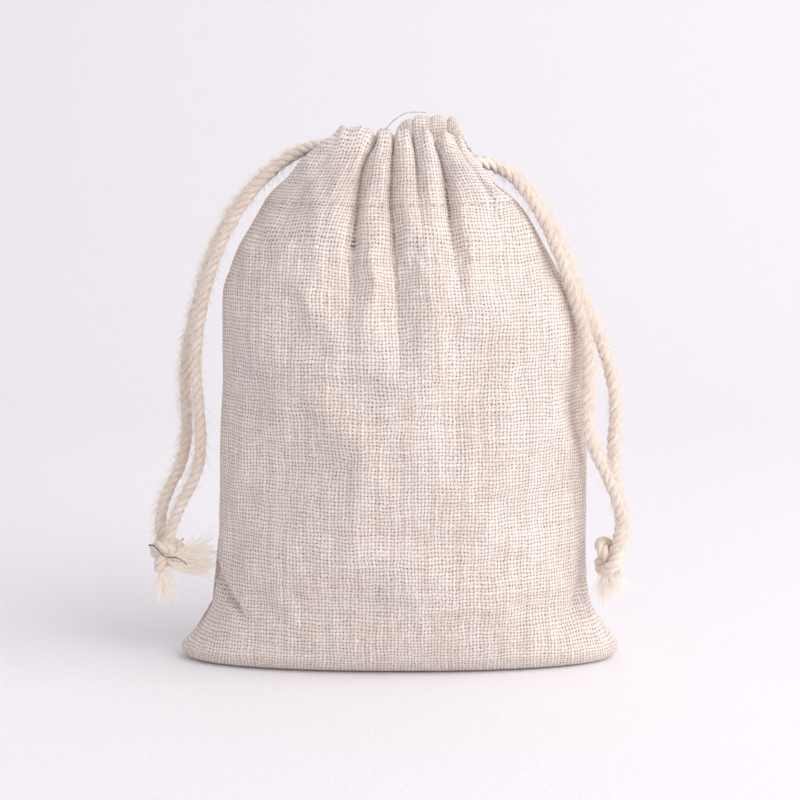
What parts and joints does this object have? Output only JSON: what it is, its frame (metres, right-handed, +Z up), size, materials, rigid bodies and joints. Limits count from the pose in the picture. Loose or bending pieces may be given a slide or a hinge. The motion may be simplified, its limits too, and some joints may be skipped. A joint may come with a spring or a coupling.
{
  "type": "herbal compress pouch",
  "caption": "Small linen drawstring pouch filled with herbs, standing on its foot, with its gathered mouth drawn shut by two knotted cords.",
  "frame": {"origin": "middle of the pouch's footprint, on the surface it stands on", "axes": "+Z up, -Y the front face, +X to the right seen from the front"},
  "size_m": [0.108, 0.044, 0.1221],
  "materials": {
    "linen_cloth": "plain-woven natural linen and cotton, matt",
    "cotton_cord": "three-ply twisted cotton cord, slightly fuzzy",
    "frayed_cotton": "loose frayed cotton fibres",
    "sewing_thread": "fine sewing thread",
    "dried_herbs": "crumbled dried leaves and flowers, matt"
  },
  "bodies": {
    "pouch": {"front_panel": "linen_cloth", "back_panel": "linen_cloth", "left_side_seam": "linen_cloth", "right_side_seam": "linen_cloth", "bottom_seam": "linen_cloth", "left_seam_stitches": "sewing_thread", "right_seam_stitches": "sewing_thread", "bottom_seam_stitches": "sewing_thread", "front_casing_stitches": "sewing_thread", "back_casing_stitches": "sewing_thread", "herb_filling": "dried_herbs", "left_cord_channel_run": "cotton_cord", "right_cord_channel_run": "cotton_cord"},
    "mouth_front": {"front_casing": "linen_cloth"},
    "mouth_back": {"back_casing": "linen_cloth"},
    "left_cord_run_body": {"left_cord_front_run": "cotton_cord", "left_cord_back_run": "cotton_cord"},
    "left_loop": {"left_cord_front_strand": "cotton_cord", "left_cord_back_strand": "cotton_cord", "left_knot": "cotton_cord", "left_tassel": "frayed_cotton"},
    "right_cord_run_body": {"right_cord_front_run": "cotton_cord", "right_cord_back_run": "cotton_cord"},
    "right_loop": {"right_cord_front_strand": "cotton_cord", "right_cord_back_strand": "cotton_cord", "right_knot": "cotton_cord", "right_tassel": "frayed_cotton"}
  },
  "joints": [
    {"name": "left_cord_pull", "type": "slide", "parent": "pouch", "child": "left_cord_run_body", "axis": [-1, 0, 0], "range_m": [0, 0.008]},
    {"name": "left_loop_swing", "type": "hinge", "parent": "left_cord_run_body", "child": "left_loop", "pos_m": [-0.0273, 0, 0.1118], "axis": [0, 1, 0], "range_deg": [0, 90]},
    {"name": "right_cord_pull", "type": "slide", "parent": "pouch", "child": "right_cord_run_body", "axis": [1, 0, 0], "range_m": [0, 0.008]},
    {"name": "right_loop_swing", "type": "hinge", "parent": "right_cord_run_body", "child": "right_loop", "pos_m": [0.0251, 0, 0.1096], "axis": [0, -1, 0], "range_deg": [0, 90]},
    {"name": "mouth_front_open", "type": "hinge", "parent": "pouch", "child": "mouth_front", "pos_m": [0, -0.006, 0.1146], "axis": [1, 0, 0], "range_deg": [0, 40], "stiffness_Nm_per_rad": 0.002},
    {"name": "mouth_back_open", "type": "hinge", "parent": "pouch", "child": "mouth_back", "pos_m": [0, 0.006, 0.1146], "axis": [-1, 0, 0], "range_deg": [0, 40], "stiffness_Nm_per_rad": 0.002}
  ],
  "couplings": [
    {"joint": "mouth_back_open", "follows": "mouth_front_open", "ratio": 1}
  ]
}
